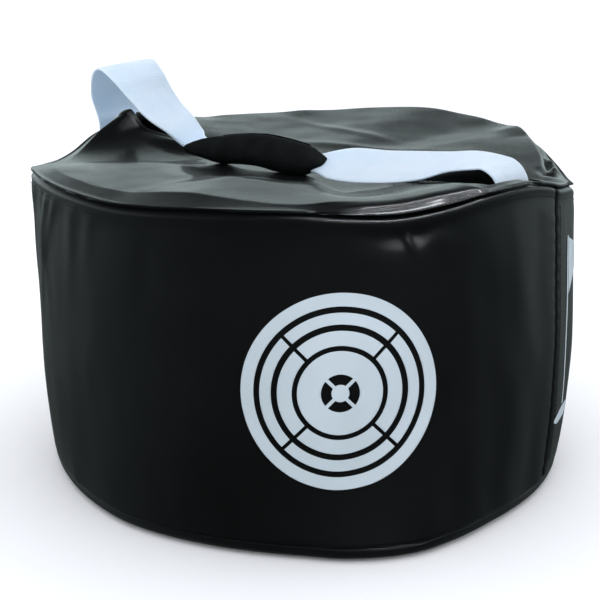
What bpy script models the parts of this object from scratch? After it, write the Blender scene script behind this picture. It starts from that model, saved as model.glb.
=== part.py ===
"""Golf impact bag: a stuffed drum of coated fabric, a zipped top and a webbing carry handle.

Units are metres, +Z is up, and the origin is the middle of the underside. Angles round the drum
start at -Y, the side with the target, and grow towards +X. The zip and the handle lie on a
diagonal: their places are (s, t, z) in millimetres, with s along the zip towards the right-front
and t across it towards the right-back.
"""
import math

import bmesh
import bpy
from mathutils import Vector

MM = 0.001
GAP = 0.0003                      # clearance between pieces that touch

# Drum
BAG_RADIUS = 0.200                # at the bulge
SEAM_RADIUS = 0.196               # at the top and bottom seams
BASE_FLAT_RADIUS = 0.186          # flat part of the underside
TOP_SEAM_Z = 0.2328
BOTTOM_SEAM_Z = 0.012
TOP_Z = 0.2290                    # level of the top between its raised rim
RIM_Z = 0.2345
RIM_RADIUS = 0.188
FABRIC = 0.0012
LINING_GAP = 0.0008               # behind the wall, whose flat facets come in a little
SIDE_SEAM_DEG = 58.0              # the wall's two panels meet here and opposite
TURN_STEPS = 60                   # steps in a full turn

# Zip
SLOT_HALF = 7.0                   # millimetres from the zip's middle to a top panel's edge
ZIP_HALF_LENGTH = 155.0
END_TAB_FROM = 162.0
TAPE_Z = (226.7, 227.3)
COIL_Z = (227.6, 229.4)
CHAIN_GAP_HALF = 0.7
SLIDER_S = -149.5
PULL_AXIS_Z = 232.5

# Handle webbing, as (s, t, z, direction across the webbing, width, thickness)
WEBBING = 1.6
FOLDED = 3.6
HANDLE = (
    (-186.0, -1.5, 251.5, (0, 1, 0), 50, WEBBING),
    (-175, -14, 266, (0.25, 0.93, 0.15), 50, WEBBING),
    (-159, -30, 284, (0.42, 0.88, 0.16), 50, WEBBING),
    (-146, -41, 295, (0.48, 0.85, 0.17), 50, WEBBING),
    (-135, -45, 296, (0.38, 0.91, 0.13), 50, WEBBING),
    (-122, -44, 287, (0.22, 0.97, 0.02), 50, WEBBING),
    (-112, -43, 275, (0.10, 0.99, 0.02), 50, WEBBING),
    (-101, -41, 263, (0, 1, 0.06), 44, WEBBING),
    (-88, -39, 252, (0, 0.98, 0.15), 32, 2.4),
    (-74, -38, 243.5, (0, 0.9, 0.40), 13, FOLDED),
    (-45, -37, 243.5, (0, 0.75, 0.65), 13, FOLDED),
    (-14, -36, 244.5, (0, 0.7, 0.7), 13, FOLDED),
    (18, -34, 243.5, (0, 0.75, 0.65), 13, FOLDED),
    (40, -30, 240.5, (0, 0.9, 0.40), 13, FOLDED),
    (56, -23, 238.5, (-0.1, 0.94, 0.31), 40, 2.4),
    (78, -15, 238.5, (-0.1, 0.95, 0.29), 50, WEBBING),
    (100, -8, 240, (-0.1, 0.95, 0.28), 50, WEBBING),
    (122, -4, 243, (-0.1, 0.96, 0.22), 50, WEBBING),
    (143, -1, 248, (-0.05, 0.98, 0.12), 50, WEBBING),
    (164.6, 0, 249.4, (0, 1, 0), 50, WEBBING),
)
HANDLE_END_LEFT = (
    (-189.4, 0, 235.3, (0, 1, 0), 50, WEBBING),
    (-189.0, 0, 241.0, (0, 1, 0), 50, WEBBING),
    (-188.3, 0, 249.5, (0, 1, 0), 50, WEBBING),
)
HANDLE_END_RIGHT = (
    (165.6, 0, 249.3, (0, 1, 0), 50, WEBBING),
    (174.5, 0, 246.0, (0, 1, 0), 50, WEBBING),
    (181.0, 0, 240.5, (0, 1, 0), 50, WEBBING),
    (183.5, 0, 235.8, (0, 1, 0), 50, WEBBING),
)
GRIP_FIRST, GRIP_LAST = 9.1, 12.9          # sections of the handle at the grip's two ends
FLAP_FIRST, FLAP_LAST = 9.8, 12.2

# Target print: outer and inner radius of each film, millimetres, centred on the front
TARGET_Z = 120.0
TARGET_RINGS = {
    "target_ring_outer": (66.0, 57.3),
    "target_ring_middle": (53.3, 45.7),
    "target_ring_inner": (41.6, 31.8),
}
TARGET_CENTRE_RADIUS = 28.4
FILM = 0.0002

ROOT_HALF = math.sqrt(0.5)


def clear_scene():
    for old in list(bpy.data.objects):
        bpy.data.objects.remove(old, do_unlink=True)


def new_collection(name):
    collection = bpy.data.collections.new(name)
    bpy.context.scene.collection.children.link(collection)
    return collection


def material(name, colour, roughness, metallic=0.0):
    made = bpy.data.materials.new(name)
    made.use_nodes = True
    shader = made.node_tree.nodes["Principled BSDF"]
    shader.inputs["Base Color"].default_value = (*colour, 1.0)
    shader.inputs["Roughness"].default_value = roughness
    shader.inputs["Metallic"].default_value = metallic
    return made


def diagonal(s, t, z):
    """A place given along and across the zip, in the bag's own axes."""
    return Vector(((s + t) * ROOT_HALF, (t - s) * ROOT_HALF, z)) * MM


def add_object(name, mesh, look, smooth_angle=35.0):
    mesh.shade_smooth()
    mesh.set_sharp_from_angle(angle=math.radians(smooth_angle))
    piece = bpy.data.objects.new(name, mesh)
    piece.data.materials.append(look)
    PARTS.objects.link(piece)
    return piece


def mesh_from_bmesh(name, shape):
    mesh = bpy.data.meshes.new(name)
    shape.to_mesh(mesh)
    shape.free()
    return mesh


def place_origin(piece, point):
    """Moves the piece's origin to a point of the bag without moving its surface."""
    for vertex in piece.data.vertices:
        vertex.co -= point
    piece.location = point


# ---- turned pieces -------------------------------------------------------------------------------

def wall_radius(z):
    """Outer radius of the wall: a shallow bulge between the two seams."""
    share = (z - BOTTOM_SEAM_Z) / (TOP_SEAM_Z - BOTTOM_SEAM_Z)
    return SEAM_RADIUS + (BAG_RADIUS - SEAM_RADIUS) * math.sin(math.pi * share)


def wall_profile(top, bottom, offset=0.0, rows=6):
    heights = [top + (bottom - top) * row / rows for row in range(rows + 1)]
    return [(wall_radius(z) - offset, z) for z in heights]


def turned(name, profile, look, centre_deg=0.0, sweep_deg=360.0, thickness=0.0, steps=None):
    """Turns a profile about +Z. An open one with a thickness is a shell, grown inwards."""
    mesh = bpy.data.meshes.new(name)
    loop = [(index, index + 1) for index in range(len(profile) - 1)]
    if not thickness and profile[0][0] > 0:
        loop.append((len(profile) - 1, 0))
    mesh.from_pydata([(radius, 0.0, z) for radius, z in profile], loop, [])
    piece = bpy.data.objects.new(name, mesh)
    piece.data.materials.append(look)
    PARTS.objects.link(piece)
    screw = piece.modifiers.new("turn", "SCREW")
    screw.angle = math.radians(sweep_deg)
    screw.steps = steps or max(3, round(TURN_STEPS * sweep_deg / 360))
    screw.render_steps = screw.steps
    screw.use_merge_vertices = True
    screw.merge_threshold = 0.00001
    screw.use_smooth_shade = True
    if thickness:
        solid = piece.modifiers.new("thickness", "SOLIDIFY")
        solid.thickness = thickness
        solid.offset = -1.0
    piece.rotation_euler.z = math.radians(centre_deg - 90.0 - sweep_deg / 2)
    return piece


def ring_profile(outer, inner, top, bottom):
    return [(outer, top), (outer, bottom), (inner, bottom), (inner, top)]


def make_wall(look):
    gap_deg = math.degrees(GAP / BAG_RADIUS)
    profile = wall_profile(TOP_SEAM_Z - FABRIC - 2 * GAP, BOTTOM_SEAM_Z + 3 * GAP)
    for name, centre in (("wall_panel_front", SIDE_SEAM_DEG - 90), ("wall_panel_back", SIDE_SEAM_DEG + 90)):
        turned(name, profile, look, centre, 180 - gap_deg, FABRIC)


def make_bottom(look):
    profile = [
        (SEAM_RADIUS, BOTTOM_SEAM_Z),
        (SEAM_RADIUS - 0.0012, 0.0060),
        (SEAM_RADIUS - 0.0045, 0.0018),
        (BASE_FLAT_RADIUS, 0.0),
        (0.0, 0.0),
    ]
    turned("bottom_panel", profile, look, thickness=0.0015)


def make_seam_tapes(look):
    turned("top_seam_tape", ring_profile(0.1942, 0.1932, 0.2295, 0.2180), look)
    turned("bottom_seam_tape", ring_profile(0.1940, 0.1930, 0.0270, 0.0150), look)
    lining = wall_profile(0.2120, 0.0330, offset=FABRIC + LINING_GAP, rows=4)
    for name, centre in (("side_seam_tape_right", SIDE_SEAM_DEG), ("side_seam_tape_left", SIDE_SEAM_DEG + 180)):
        turned(name, lining, look, centre, 4.6, 0.0009)


def make_handle_anchors(look):
    """Patches behind the wall that spread the pull of the handle's ends."""
    lining = wall_profile(0.2140, 0.1740, offset=FABRIC + LINING_GAP, rows=2)
    turned("handle_anchor_right", lining, look, 45.0, 17.0, 0.0009)
    turned("handle_anchor_left", lining, look, -135.0, 17.0, 0.0009)


def make_filling(look):
    """Three packed layers, whose sides follow the wall with a little room."""
    levels = (("filling_lower", 0.0030, 0.0740), ("filling_middle", 0.0745, 0.1480), ("filling_upper", 0.1485, 0.2160))
    for name, low, high in levels:
        rounding = 0.008
        side = [(0.1910, high - rounding), (0.1915, (low + high) / 2), (0.1910, low + rounding)]
        profile = [(0.0, high), (0.1910 - rounding, high), *side, (0.1910 - rounding, low), (0.0, low)]
        turned(name, profile, look)


# ---- top panels ----------------------------------------------------------------------------------

def top_profile():
    """The top from its middle outwards: level, then up to the rim and down to the seam."""
    points = [(0.0, TOP_Z), (0.05, TOP_Z), (0.10, TOP_Z), (0.15, TOP_Z)]
    rise_from = 0.15
    for share in (0.35, 0.7, 1.0):
        blend = 0.5 - 0.5 * math.cos(math.pi * share)
        points.append((rise_from + (RIM_RADIUS - rise_from) * share, TOP_Z + (RIM_Z - TOP_Z) * blend))
    points.append((0.1935, RIM_Z - 0.0004))
    points.append((SEAM_RADIUS, TOP_SEAM_Z))
    return points


def cut_top(name, look, planes):
    """A shell of the top's surface, kept on the inner side of each plane (distance, direction)."""
    shape = bmesh.new()
    line = [shape.verts.new((radius, 0.0, z)) for radius, z in top_profile()]
    edges = [shape.edges.new(pair) for pair in zip(line, line[1:])]
    bmesh.ops.spin(shape, geom=line + edges, axis=(0, 0, 1), cent=(0, 0, 0), angle=math.tau, steps=TURN_STEPS)
    bmesh.ops.remove_doubles(shape, verts=shape.verts, dist=0.00001)
    for distance, direction in planes:
        everything = shape.verts[:] + shape.edges[:] + shape.faces[:]
        bmesh.ops.bisect_plane(shape, geom=everything, dist=0.000001, plane_co=direction * distance,
                               plane_no=direction, clear_outer=True)
    if sum(face.normal.z for face in shape.faces) < 0:
        bmesh.ops.reverse_faces(shape, faces=shape.faces)
    piece = add_object(name, mesh_from_bmesh(name, shape), look)
    solid = piece.modifiers.new("thickness", "SOLIDIFY")
    solid.thickness = FABRIC
    solid.offset = -1.0
    return piece


def make_top(look, trim):
    along = Vector((ROOT_HALF, -ROOT_HALF, 0.0))
    across = Vector((ROOT_HALF, ROOT_HALF, 0.0))
    slot = SLOT_HALF * MM
    inside_slot = slot - GAP
    cut_top("top_panel_front", look, [(-slot, across)])
    cut_top("top_panel_back", look, [(-slot, -across)])
    for name, end in (("zip_end_tab_left", along), ("zip_end_tab_right", -along)):
        cut_top(name, trim, [(inside_slot, across), (inside_slot, -across), (-END_TAB_FROM * MM, end)])


# ---- zip -----------------------------------------------------------------------------------------

def block(name, look, low, high):
    """A box between two (s, t, z) corners, lined up with the zip."""
    shape = bmesh.new()
    bmesh.ops.create_cube(shape, size=1.0)
    for vertex in shape.verts:
        share = [coordinate + 0.5 for coordinate in vertex.co]
        vertex.co = diagonal(*(a + (b - a) * part for a, b, part in zip(low, high, share)))
    return add_object(name, mesh_from_bmesh(name, shape), look)


def make_zip(tape_look, coil_look, metal):
    length = ZIP_HALF_LENGTH
    for side, sign in (("front", -1), ("back", 1)):
        tape = sorted((sign * 1.7, sign * 13.5))
        coil = sorted((sign * CHAIN_GAP_HALF, sign * 3.2))
        block(f"zip_tape_{side}", tape_look, (-length - 6, tape[0], TAPE_Z[0]), (length + 6, tape[1], TAPE_Z[1]))
        block(f"zip_coil_{side}", coil_look, (-length, coil[0], COIL_Z[0]), (length, coil[1], COIL_Z[1]))
    for side, sign in (("left", -1), ("right", 1)):
        ends = sorted((sign * (length + 0.6), sign * (length + 3.6)))
        block(f"zip_stop_{side}", metal, (ends[0], -3.4, COIL_Z[0]), (ends[1], 3.4, COIL_Z[1] + 0.3))


def make_slider(metal):
    """An H section round the chain: two plates joined by a thin post between the coils."""
    plate, post, half_length = 4.8, 0.35, 5.0
    low, under, over, high = 224.6, 226.2, 229.8, 231.2
    outline = [(-plate, low), (plate, low), (plate, under), (post, under), (post, over), (plate, over),
               (plate, high), (-plate, high), (-plate, over), (-post, over), (-post, under), (-plate, under)]
    rings = [[diagonal(SLIDER_S + end, t, z) for t, z in outline] for end in (-half_length, half_length)]
    slider = loft("slider_body", rings, metal)
    place_origin(slider, diagonal(SLIDER_S, 0, over))

    arch = tube_curve("slider_bridge", [(-3.6, 231.9), (-3.2, 233.6), (-1.6, 234.6), (1.6, 234.6), (3.2, 233.6),
                                        (3.6, 231.9)], 0.5, metal)
    place_origin(arch, diagonal(SLIDER_S, 0, over))


def tube_curve(name, points, radius, look):
    """A bent wire in the zip's upright plane, as a mesh made from a bevelled curve."""
    curve = bpy.data.curves.new(name, "CURVE")
    curve.dimensions = "3D"
    curve.bevel_depth = radius * MM
    curve.bevel_resolution = 2
    curve.use_fill_caps = True
    spline = curve.splines.new("POLY")
    spline.points.add(len(points) - 1)
    for target, (s, z) in zip(spline.points, points):
        target.co = (*diagonal(SLIDER_S + s, 0, z), 1.0)
    guide = bpy.data.objects.new(name + "_wire", curve)
    PARTS.objects.link(guide)
    depsgraph = bpy.context.evaluated_depsgraph_get()
    mesh = bpy.data.meshes.new_from_object(guide.evaluated_get(depsgraph))
    bpy.data.objects.remove(guide, do_unlink=True)
    shape = bmesh.new()
    shape.from_mesh(mesh)
    bmesh.ops.remove_doubles(shape, verts=shape.verts, dist=0.00001)
    bpy.data.meshes.remove(mesh)
    return add_object(name, mesh_from_bmesh(name, shape), look)


def make_pull_tab(metal):
    """A flat tab with a window, through which the slider's bridge passes."""
    outer = [(-0.8, -2.6), (-0.8, 2.6), (6, 3.2), (21, 4.4), (24, 3.0), (24, -3.0), (21, -4.4), (6, -3.2)]
    window = [(0.8, -1.8), (5.4, -1.8), (5.4, 1.8), (0.8, 1.8)]
    curve = bpy.data.curves.new("pull_tab", "CURVE")
    curve.dimensions = "2D"
    curve.fill_mode = "BOTH"
    curve.extrude = 0.5 * MM
    for points in (outer, window):
        spline = curve.splines.new("POLY")
        spline.points.add(len(points) - 1)
        spline.use_cyclic_u = True
        for target, (s, t) in zip(spline.points, points):
            target.co = (s * MM, t * MM, 0.0, 1.0)
    tab = bpy.data.objects.new("pull_tab", curve)
    curve.materials.append(metal)
    PARTS.objects.link(tab)
    tab.rotation_euler.z = math.radians(-45)
    tab.location = diagonal(SLIDER_S, 0, PULL_AXIS_Z)


# ---- handle --------------------------------------------------------------------------------------

def catmull_rom(before, first, second, after, share):
    return 0.5 * (2 * first + (second - before) * share
                  + (2 * before - 5 * first + 4 * second - after) * share ** 2
                  + (3 * first - before - 3 * second + after) * share ** 3)


def section_values(route, place):
    """Smoothly read numbers of the route at a place such as 3.5, half-way past section 3."""
    rows = [(*row[:3], *row[3], *row[4:]) for row in route]
    index = min(int(place), len(rows) - 2)
    share = place - index
    picked = [rows[max(index - 1, 0)], rows[index], rows[index + 1], rows[min(index + 2, len(rows) - 1)]]
    return [catmull_rom(*column, share) for column in zip(*picked)]


def section_frame(route, place):
    """Middle, direction across, direction outwards, width and thickness at a place on the route."""
    s, t, z, across_s, across_t, across_z, width, thickness = section_values(route, place)
    step = 0.02
    ahead = diagonal(*section_values(route, min(place + step, len(route) - 1))[:3])
    behind = diagonal(*section_values(route, max(place - step, 0))[:3])
    across = diagonal(across_s, across_t, across_z).normalized()
    outwards = (ahead - behind).cross(across).normalized()
    return diagonal(s, t, z), across, outwards, width * MM, thickness * MM


def loft(name, rings, look):
    """A closed solid through rings of equal count, with flat ends."""
    shape = bmesh.new()
    rows = [[shape.verts.new(point) for point in ring] for ring in rings]
    count = len(rows[0])
    for row, following in zip(rows, rows[1:]):
        for index in range(count):
            beside = (index + 1) % count
            shape.faces.new((row[index], row[beside], following[beside], following[index]))
    shape.faces.new(rows[0])
    shape.faces.new(rows[-1])
    bmesh.ops.recalc_face_normals(shape, faces=shape.faces)
    return add_object(name, mesh_from_bmesh(name, shape), look)


def band(name, route, look, per_section=4):
    """Flat webbing along a route."""
    rings = []
    for step in range((len(route) - 1) * per_section + 1):
        middle, across, outwards, width, thickness = section_frame(route, step / per_section)
        side, face = across * width / 2, outwards * thickness / 2
        rings.append([middle + side + face, middle + side - face, middle - side - face, middle - side + face])
    return loft(name, rings, look)


def grip_swell(place):
    """0 at the grip's ends and 1 in its middle."""
    share = (place - GRIP_FIRST) / (GRIP_LAST - GRIP_FIRST)
    return math.sin(math.pi * min(max(share, 0.0), 1.0)) ** 0.6


def core_size(swell):
    """Half width and half thickness of the foam core's outside, in metres."""
    return (10.0 + 0.4 * swell) * MM, (5.2 + 2.8 * swell) * MM


def grip_layer(name, look, places, from_deg, to_deg, inner, outer, steps=16):
    """A wrap round the webbing: a C section between two sizes, swept along the grip."""
    first, last = places
    rings = []
    stations = 10
    for station in range(stations + 1):
        place = first + (last - first) * station / stations
        middle, across, outwards, _, _ = section_frame(HANDLE, place)
        swell = grip_swell(place)
        ring = []
        for size, backwards in ((outer(swell), False), (inner(swell), True)):
            for step in range(steps + 1):
                share = 1 - step / steps if backwards else step / steps
                angle = math.radians(from_deg + (to_deg - from_deg) * share)
                ring.append(middle + across * size[0] * math.cos(angle) + outwards * size[1] * math.sin(angle))
        rings.append(ring)
    return loft(name, rings, look)


def grown(by):
    """The foam core's outside, grown by a number of millimetres."""
    return lambda swell: tuple(half + by * MM for half in core_size(swell))


def make_handle(webbing, foam, cover, hook):
    band("handle_webbing", HANDLE, webbing)
    band("handle_end_left", HANDLE_END_LEFT, webbing)
    band("handle_end_right", HANDLE_END_RIGHT, webbing)

    whole = (GRIP_FIRST, GRIP_LAST)
    middle = (FLAP_FIRST, FLAP_LAST)
    strip = (FLAP_FIRST + 0.1, FLAP_LAST - 0.1)
    slot = (9.0 * MM, 3.4 * MM)
    grip_layer("grip_core", foam, whole, -88, 268, lambda swell: slot, core_size)
    grip_layer("grip_wrap", cover, whole, -78, 278, grown(0.3), grown(1.4))
    grip_layer("loop_strip", hook, strip, -66, -16, grown(1.7), grown(2.2), 6)
    hook_strip = grip_layer("hook_strip", hook, strip, -66, -16, grown(2.5), grown(3.0), 6)
    flap = grip_layer("grip_flap", cover, middle, -80, 4, grown(3.3), grown(4.2), 8)
    for piece in (hook_strip, flap):
        place_origin(piece, flap_hinge())


def flap_hinge():
    """The flap turns about its upper edge, half-way along the grip."""
    middle, across, outwards, _, _ = section_frame(HANDLE, (FLAP_FIRST + FLAP_LAST) / 2)
    half_width, half_thickness = grown(3.75)(1.0)
    angle = math.radians(6)
    return middle + across * half_width * math.cos(angle) + outwards * half_thickness * math.sin(angle)


# ---- target print --------------------------------------------------------------------------------

def on_wall(side, up, lift):
    """A point over the wall's front, side and up being millimetres from the target's middle."""
    z = (TARGET_Z + up) * MM
    radius = wall_radius(z) + lift
    angle = side * MM / BAG_RADIUS
    return Vector((radius * math.sin(angle), -radius * math.cos(angle), z))


def film_disc(name, outer, inner, look, steps=40):
    """A thin film on the wall: a ring, or a disc where inner is 0."""
    lifts = (GAP, GAP + FILM)
    shape = bmesh.new()
    radii = (outer, inner) if inner else (outer, outer * 0.55, outer * 0.2)
    layers = []
    for lift in lifts:
        rows = []
        for radius in radii:
            angles = [math.tau * step / steps for step in range(steps)]
            rows.append([shape.verts.new(on_wall(radius * math.cos(a), radius * math.sin(a), lift)) for a in angles])
        layers.append(rows)
    for rows in layers:
        for row, following in zip(rows, rows[1:]):
            join_rows(shape, row, following)
    join_rows(shape, layers[0][0], layers[1][0])
    if inner:
        join_rows(shape, layers[0][-1], layers[1][-1])
    else:
        for rows in layers:
            shape.faces.new(rows[-1])
    bmesh.ops.recalc_face_normals(shape, faces=shape.faces)
    add_object(name, mesh_from_bmesh(name, shape), look)


def join_rows(shape, row, following):
    count = len(row)
    for index in range(count):
        beside = (index + 1) % count
        shape.faces.new((row[index], row[beside], following[beside], following[index]))


def make_target(look):
    for name, (outer, inner) in TARGET_RINGS.items():
        film_disc(name, outer, inner, look)
    film_disc("target_centre", TARGET_CENTRE_RADIUS, 0, look)


clear_scene()
PARTS = new_collection("impact_bag")

coated_fabric = material("coated_fabric", (0.010, 0.012, 0.011), 0.38)
zip_fabric = material("zip_fabric", (0.012, 0.012, 0.012), 0.85)
zip_nylon = material("zip_nylon", (0.015, 0.015, 0.015), 0.45)
dark_metal = material("dark_metal", (0.05, 0.05, 0.055), 0.35, 0.9)
seam_fabric = material("seam_fabric", (0.02, 0.02, 0.02), 0.8)
white_webbing = material("white_webbing", (0.66, 0.75, 0.90), 0.6)
grip_foam = material("grip_foam", (0.008, 0.008, 0.008), 0.9)
grip_cover = material("grip_cover", (0.010, 0.012, 0.012), 0.75)
hook_and_loop = material("hook_and_loop", (0.015, 0.015, 0.015), 0.95)
rag_filling = material("rag_filling", (0.45, 0.43, 0.40), 0.95)
print_film = material("print_film", (0.55, 0.60, 0.64), 0.35)

make_wall(coated_fabric)
make_bottom(coated_fabric)
make_top(coated_fabric, coated_fabric)
make_seam_tapes(seam_fabric)
make_handle_anchors(seam_fabric)
make_filling(rag_filling)
make_zip(zip_fabric, zip_nylon, dark_metal)
make_slider(dark_metal)
make_pull_tab(dark_metal)
make_handle(white_webbing, grip_foam, grip_cover, hook_and_loop)
make_target(print_film)
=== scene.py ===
"""Looks of the golf impact bag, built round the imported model.

+Z is up and the origin is the middle of the underside. Blender works in metres; the sizes here are
millimetres, and mm() turns a point into metres. An angle round the drum is 0 at -Y, the side with
the target, and grows towards +X. The zip and the handle lie on a diagonal: their places are
(s, t, z), with s along the zip towards the right-front and t across it towards the right-back.
"""
import math

import bmesh
import bpy
from mathutils import Matrix, Vector, noise


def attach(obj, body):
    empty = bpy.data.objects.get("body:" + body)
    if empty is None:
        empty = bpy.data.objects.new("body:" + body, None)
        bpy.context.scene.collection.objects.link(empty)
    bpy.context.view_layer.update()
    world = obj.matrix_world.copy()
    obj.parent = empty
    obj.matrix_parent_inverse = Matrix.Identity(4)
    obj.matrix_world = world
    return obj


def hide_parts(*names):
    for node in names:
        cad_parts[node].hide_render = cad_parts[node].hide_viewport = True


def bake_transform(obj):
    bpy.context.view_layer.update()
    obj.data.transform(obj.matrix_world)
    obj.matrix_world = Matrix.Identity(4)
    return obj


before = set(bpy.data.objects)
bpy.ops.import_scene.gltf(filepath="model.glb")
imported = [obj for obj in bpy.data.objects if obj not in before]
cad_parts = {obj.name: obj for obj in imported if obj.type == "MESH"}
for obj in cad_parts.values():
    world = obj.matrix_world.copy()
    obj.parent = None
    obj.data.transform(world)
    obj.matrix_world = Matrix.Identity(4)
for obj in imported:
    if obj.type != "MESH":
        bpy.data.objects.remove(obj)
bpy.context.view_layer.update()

ROOT_HALF = math.sqrt(0.5)
CLOTH_PITCH = 0.0018              # of the coated cloth's weave, in metres
SHORT_STITCH, STITCH_PITCH = 1.4, 4.2  # half a stitch's length, and the step from one to the next

# Shape of the stuffed drum: (angle, millimetres), read as smooth closed curves
BASE_RADIUS = (
    (-180, 197), (-150, 197), (-120, 197), (-95, 196), (-83, 193), (-71, 192.5), (-57, 194), (-46, 196.5),
    (-30, 197), (-17, 199), (-7, 203), (2, 210), (14, 213.5), (24, 209), (36, 203.5), (59, 203),
    (75, 203), (100, 202), (130, 200), (155, 197.5))
MIDDLE_RADIUS = (
    (-180, 199), (-120, 199), (-86, 198.6), (-50, 198), (-20, 199), (0, 202), (15, 204), (40, 206),
    (71, 209.5), (90, 208), (120, 203), (150, 200))
TOP_RADIUS = (
    (-180, 195), (-130, 195.5), (-86, 199), (-60, 197.5), (-40, 196.5), (0, 196.5), (20, 197), (45, 199),
    (54, 201), (62, 203), (71, 203.5), (80, 200), (95, 198), (110, 197), (140, 196))
SEAM_HEIGHT = (
    (-180, 228), (-161, 228.5), (-149, 231), (-136, 234), (-127, 230), (-119, 221.5), (-112, 219.5),
    (-103, 222), (-95, 226), (-86, 231.5), (-76, 233.5), (-63, 233.5), (-53, 233), (-46, 232.5),
    (-36, 234), (-26, 236), (-16, 237), (-7, 237), (2, 234.5), (11, 233), (22, 236), (31, 240),
    (38, 241.5), (45, 240), (51, 236), (57, 230), (64, 226.5), (72, 218.5), (80, 217), (90, 221),
    (101, 229), (122, 232), (138, 235), (152, 232), (165, 229))
CREST_RISE = (
    (-180, 8.5), (-140, 8), (-122, 4), (-110, 3), (-98, 2.5), (-86, 3), (-60, 3.6), (-46, 4.6),
    (-32, 6.2), (-25, 4.8), (-18, 3.2), (-12, 2.2), (-6, 2.4), (0, 6), (15, 8.5), (27, 7), (33, 0.5),
    (38, -6), (45, -7.5), (52, -6), (57, 1), (64, 7), (72, 17.5), (80, 22), (90, 20.5), (101, 14),
    (112, 11), (124, 11.5), (140, 10.5), (155, 10))
CREST_INSET = (
    (-180, 14), (-140, 20), (-110, 20), (-86, 14), (-60, 15), (-46, 19), (-32, 22), (-18, 17), (-10, 12),
    (3, 12), (12, 10), (35, 9), (47, 10), (56, 14), (68, 20), (80, 20), (90, 18), (105, 10), (140, 12))
GROOVE_DEPTH = (
    (-180, 3), (-90, 2.6), (-46, 2.6), (-20, 2.6), (-4, 4), (6, 6.5), (30, 6), (44, 4), (60, 4),
    (110, 3.5))
BOTTOM_SEAM_HEIGHT = 13.0
CLOTH = 1.0                       # thickness of the coated cloth
DRUM_MIDDLE = (0, 0, 120)
MIDDLE_SHARE = 0.42               # share of the wall's height where MIDDLE_RADIUS holds
SIDE_SEAMS = (54.4, -122.0)
TOP_LEVEL = 229.0
SLOT_HALF = 7.0
VALLEY = 228.4                    # floor beside the zip
UNDER_ZIP = (0, 0, 150)
WALL_COLUMNS, WALL_ROWS = 600, 96
TOP_COLUMNS = 480

# Crests of the cloth raised beside the zip's two ends: (s, height)
LEFT_CREST_FRONT = (
    (-205, 236), (-196, 239), (-187, 243.5), (-181, 247), (-175.5, 251), (-170, 251.8), (-165, 247.8),
    (-158, 241), (-152, 237), (-140, 233.8), (-128, 231.3), (-112, 229), (-95, 227.3), (-70, 225))
LEFT_CREST_BACK = (
    (-205, 238), (-187, 246), (-179, 246.5), (-161, 245), (-150, 240.5), (-144, 237.3), (-132, 230.5),
    (-120, 228), (-100, 226))
RIGHT_CREST_FRONT = (
    (95, 226), (112, 229), (130, 230.8), (150, 232.5), (165, 234), (180, 236), (188, 237))
RIGHT_CREST_BACK = (
    (90, 226), (110, 231), (130, 236), (145, 241), (160, 244), (172, 242.5), (182, 235.5), (190, 232))
CREST_T = 8.5                     # distance of the crests from the zip's middle

# Handle webbing, as (s, t, z, direction across the webbing, width, thickness)
WEBBING = 1.6
FOLDED = 3.6
PLAIN = (50, WEBBING)
HANDLE = (
    (-187.9, -3.0, 251.4, (0.07, 1, 0), *PLAIN),
    (-177.4, -15, 266.9, (0.18, 0.98, 0.11), *PLAIN),
    (-162.7, -28, 281.0, (0.27, 0.95, 0.14), *PLAIN),
    (-149.8, -38, 292.3, (0.21, 0.97, 0.09), *PLAIN),
    (-135.5, -44, 296.0, (0.22, 0.97, 0.06), *PLAIN),
    (-123.4, -44, 287.5, (0.13, 0.99, 0.02), *PLAIN),
    (-116.0, -40, 275.4, (-0.03, 1, 0.04), *PLAIN),
    (-105.6, -36, 262.9, (-0.16, 0.98, 0.11), 48, WEBBING),
    (-92.9, -31, 252.1, (-0.18, 0.97, 0.15), 40, 2.0),
    (-83.7, -27, 242.0, (-0.14, 0.96, 0.23), 30, 2.6),
    (-66, -33, 240.0, (0, 0.8, 0.6), 12, FOLDED),
    (-14, -36, 241.5, (0, 0.7, 0.7), 13, FOLDED),
    (18, -34, 239.5, (0, 0.75, 0.65), 13, FOLDED),
    (33, -33, 238.0, (0, 0.75, 0.65), 13, FOLDED),
    (45, -28, 239.0, (0, 0.84, 0.54), 24, 3.0),
    (58, -22, 239.0, (-0.05, 0.92, 0.38), 42, 2.0),
    (78, -15, 238.5, (-0.1, 0.95, 0.29), *PLAIN),
    (100, -8, 240, (-0.1, 0.95, 0.28), *PLAIN),
    (122, -4, 243, (-0.1, 0.96, 0.22), *PLAIN),
    (143, -1, 248, (-0.05, 0.98, 0.12), *PLAIN),
    (164.6, 0, 249.4, (0, 1, 0), *PLAIN),
)
FOOT_LEFT = (
    (-189.6, 0, 228.0, (0, 1, 0), *PLAIN),
    (-189.4, 0, 235.3, (0, 1, 0), *PLAIN),
    (-189.0, -0.5, 242.0, (0, 1, 0), *PLAIN),
)
FOOT_RIGHT = (
    (172.0, 0, 248.8, (-0.02, 1, -0.06), *PLAIN),
    (178.5, 0, 245.0, (-0.08, 1, -0.06), *PLAIN),
    (182.5, 0, 239.5, (-0.1, 1, -0.05), *PLAIN),
    (184.0, 0, 234.5, (-0.1, 1, -0.05), *PLAIN),
    (184.3, 0, 227.0, (-0.1, 1, -0.05), *PLAIN),
)
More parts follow.
